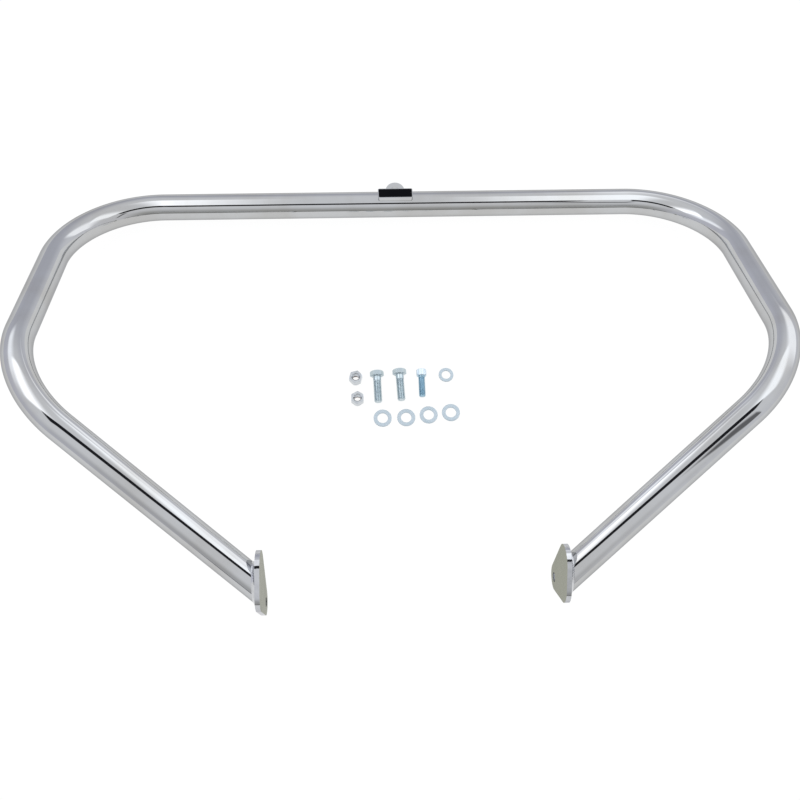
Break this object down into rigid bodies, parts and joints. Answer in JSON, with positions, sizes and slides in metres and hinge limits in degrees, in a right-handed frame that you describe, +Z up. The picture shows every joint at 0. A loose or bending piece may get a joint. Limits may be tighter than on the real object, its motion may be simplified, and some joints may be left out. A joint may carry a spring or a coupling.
{
  "type": "motorcycle crash bars",
  "caption": "Chromed tubular motorcycle engine guard with drilled end plates and a top lug, and its fasteners laid beside it.",
  "frame": {"origin": "centre of the centre lug's hole on the lug's rear face, which rests on the surface", "axes": "+X across the motorcycle, +Y from the lower ends towards the top tube, +Z up from the surface the part lies on, which is forwards on the motorcycle"},
  "size_m": [0.837, 0.5493, 0.1583],
  "materials": {
    "chrome_plate": "polished chrome on steel",
    "zinc_plate": "clear zinc on steel",
    "black_enamel": "gloss black enamel",
    "nylon": "smooth nylon"
  },
  "bodies": {
    "root": {"guard_tube": "chrome_plate", "left_end_plate": "chrome_plate", "right_end_plate": "chrome_plate", "left_end_weld": "chrome_plate", "right_end_weld": "chrome_plate", "centre_lug": "chrome_plate", "lug_upper_weld": "chrome_plate", "lug_lower_weld": "chrome_plate", "badge_base": "chrome_plate", "badge_inlay": "black_enamel", "end_bolt_1": "zinc_plate", "end_bolt_2": "zinc_plate", "lug_screw": "zinc_plate", "lock_nut_1": "zinc_plate", "lock_nut_2": "zinc_plate", "nut_insert_1": "nylon", "nut_insert_2": "nylon", "end_washer_1": "zinc_plate", "end_washer_2": "zinc_plate", "end_washer_3": "zinc_plate", "end_washer_4": "zinc_plate", "lug_washer": "zinc_plate"}
  },
  "joints": []
}
